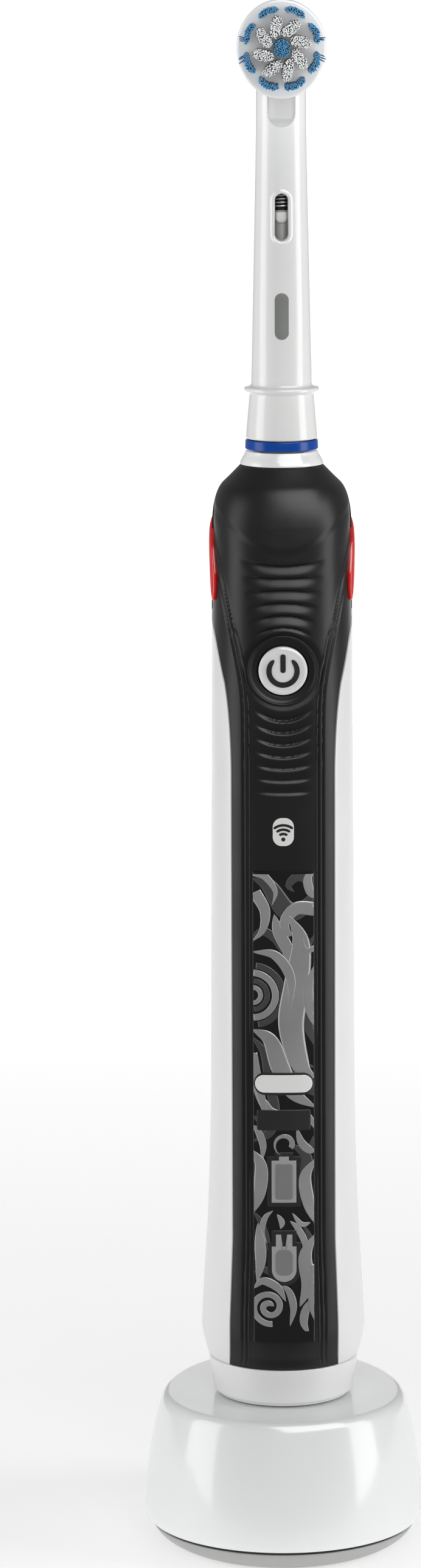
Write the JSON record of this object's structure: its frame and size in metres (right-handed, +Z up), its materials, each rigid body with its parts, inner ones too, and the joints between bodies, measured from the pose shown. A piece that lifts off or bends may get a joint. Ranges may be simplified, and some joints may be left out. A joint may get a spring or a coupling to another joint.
{
  "type": "electric toothbrush on charger",
  "caption": "Upright rechargeable toothbrush with a round swinging brush, black grip, front button and patterned strip, on a low white egg-shaped charger.",
  "frame": {"origin": "under the middle of the object's box, on the plane the charger stands on", "axes": "+Z up along the handle, the brush and the button face -Y, the cord's way out faces +Y"},
  "size_m": [0.0488, 0.0574, 0.2696],
  "materials": {
    "gloss_white": "glossy",
    "satin_white": "satin",
    "soft_black": "soft satin",
    "gloss_black": "glossy",
    "grey_lens": "glossy",
    "red_lens": "clear red, glossy",
    "blue_gloss": "glossy",
    "seal_rubber": "matt",
    "white_bristle": "fine filaments",
    "blue_bristle": "fine filaments",
    "steel": "brushed",
    "copper_wire": "enamelled windings",
    "dark_ferrite": "matt",
    "circuit_board": "lacquered",
    "cell_wrap": "shrink film",
    "natural_acetal": "satin"
  },
  "bodies": {
    "charger": {"charger_housing": "gloss_white", "charger_base_plate": "satin_white", "charger_seam_gasket": "seal_rubber", "cord_gland": "seal_rubber", "charger_ferrite_core": "dark_ferrite", "charger_coil_former": "natural_acetal", "charger_primary_coil": "copper_wire", "charger_circuit_board": "circuit_board", "charger_capacitor": "cell_wrap"},
    "handle": {"handle_shell": "satin_white", "soft_grip_cover": "soft_black", "decor_panel": "gloss_black", "battery_window": "grey_lens", "plug_window": "grey_lens", "wireless_window": "gloss_white", "pressure_light_lens": "red_lens", "button_bezel": "soft_black", "tactile_switch": "dark_ferrite", "end_cap": "satin_white", "cap_seal_ring": "seal_rubber", "receiver_coil": "copper_wire", "battery_cell": "cell_wrap", "chassis": "natural_acetal", "main_circuit_board": "circuit_board", "motor_can": "steel", "lower_shaft_bush": "natural_acetal", "upper_shaft_bush": "natural_acetal", "neck_collar": "gloss_white", "shaft_seal": "seal_rubber"},
    "button": {"power_button": "gloss_white"},
    "motor_shaft": {"motor_pinion": "steel"},
    "crank": {"crank_gear": "natural_acetal"},
    "swing_shaft": {"rocker_arm": "natural_acetal", "drive_shaft": "steel"},
    "brush_head": {"head_stem": "gloss_white", "colour_ring": "blue_gloss", "head_insert": "natural_acetal", "rod_spring": "steel", "disc_axle": "steel"},
    "head_rod": {"drive_rod": "natural_acetal"},
    "brush_disc": {"bristle_disc": "gloss_white", "centre_tuft": "blue_bristle", "inner_tuft_1": "white_bristle", "inner_tuft_2": "white_bristle", "inner_tuft_3": "white_bristle", "inner_tuft_4": "white_bristle", "inner_tuft_5": "white_bristle", "inner_tuft_6": "white_bristle", "inner_tuft_7": "white_bristle", "inner_tuft_8": "white_bristle", "outer_tuft_1": "blue_bristle", "outer_tuft_2": "blue_bristle", "outer_tuft_3": "blue_bristle", "outer_tuft_4": "blue_bristle", "outer_tuft_5": "blue_bristle", "outer_tuft_6": "blue_bristle", "outer_tuft_7": "blue_bristle", "outer_tuft_8": "blue_bristle"}
  },
  "joints": [
    {"name": "handle_lift", "type": "slide", "parent": "charger", "child": "handle", "axis": [0, 0, 1], "range_m": [0, 0.02]},
    {"name": "button_press", "type": "slide", "parent": "handle", "child": "button", "axis": [0, 1, 0], "range_m": [0, 0.0006], "stiffness_N_per_m": 2000},
    {"name": "motor_turn", "type": "hinge", "parent": "handle", "child": "motor_shaft", "pos_m": [0, -0.00433, 0.139], "axis": [0, 0, 1], "continuous": true},
    {"name": "crank_turn", "type": "hinge", "parent": "handle", "child": "crank", "pos_m": [0, 0.00047, 0.141], "axis": [0, 0, 1], "continuous": true},
    {"name": "shaft_swing", "type": "hinge", "parent": "handle", "child": "swing_shaft", "pos_m": [0, -0.00433, 0.147], "axis": [0, 0, 1], "range_deg": [-25, 25]},
    {"name": "head_pull", "type": "slide", "parent": "handle", "child": "brush_head", "axis": [0, 0, 1], "range_m": [0, 0.03]},
    {"name": "rod_swing", "type": "hinge", "parent": "brush_head", "child": "head_rod", "pos_m": [0, -0.00433, 0.227], "axis": [0, 0, 1], "range_deg": [-26, 26]},
    {"name": "disc_swing", "type": "hinge", "parent": "brush_head", "child": "brush_disc", "pos_m": [0, -0.01033, 0.2616], "axis": [0, -1, 0], "range_deg": [-22, 22]}
  ],
  "couplings": [
    {"joint": "motor_turn", "follows": "crank_turn", "ratio": -3},
    {"joint": "rod_swing", "follows": "shaft_swing", "ratio": 1},
    {"joint": "disc_swing", "follows": "shaft_swing", "ratio": 0.85}
  ]
}
